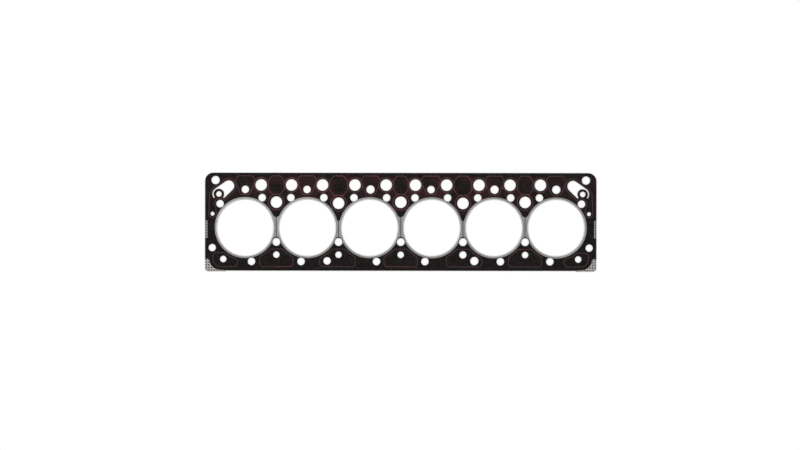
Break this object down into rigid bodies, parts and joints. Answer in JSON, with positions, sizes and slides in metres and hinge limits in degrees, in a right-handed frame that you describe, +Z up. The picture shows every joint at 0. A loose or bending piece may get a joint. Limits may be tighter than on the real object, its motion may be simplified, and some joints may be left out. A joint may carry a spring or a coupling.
{
  "type": "cylinder head gasket",
  "caption": "Flat head gasket for an inline engine: perforated steel core between soft facings, folded metal rings round the bores, and raised sealing beads.",
  "frame": {"origin": "middle of the outline, on the surface that it lies on", "axes": "+X along the row of cylinders, +Y towards the row of large passages, +Z up out of the face that meets the head"},
  "size_m": [0.692, 0.1744, 0.0025],
  "materials": {
    "core_steel": "bare cold-rolled steel, punched",
    "facing": "matte black fibre composite",
    "ring_metal": "satin folded steel",
    "bead_silicone": "dark red printed silicone"
  },
  "bodies": {
    "root": {"bridge_bead_1": "bead_silicone", "bridge_bead_2": "bead_silicone", "bridge_bead_3": "bead_silicone", "bridge_bead_4": "bead_silicone", "bridge_bead_5": "bead_silicone", "core_plate": "core_steel", "fire_ring_1": "ring_metal", "fire_ring_2": "ring_metal", "fire_ring_3": "ring_metal", "fire_ring_4": "ring_metal", "fire_ring_5": "ring_metal", "fire_ring_6": "ring_metal", "left_corner_bead": "bead_silicone", "left_slot_bead": "bead_silicone", "lower_facing": "facing", "right_corner_bead": "bead_silicone", "right_slot_bead": "bead_silicone", "upper_facing": "facing", "upper_row_bead": "bead_silicone"}
  },
  "joints": []
}
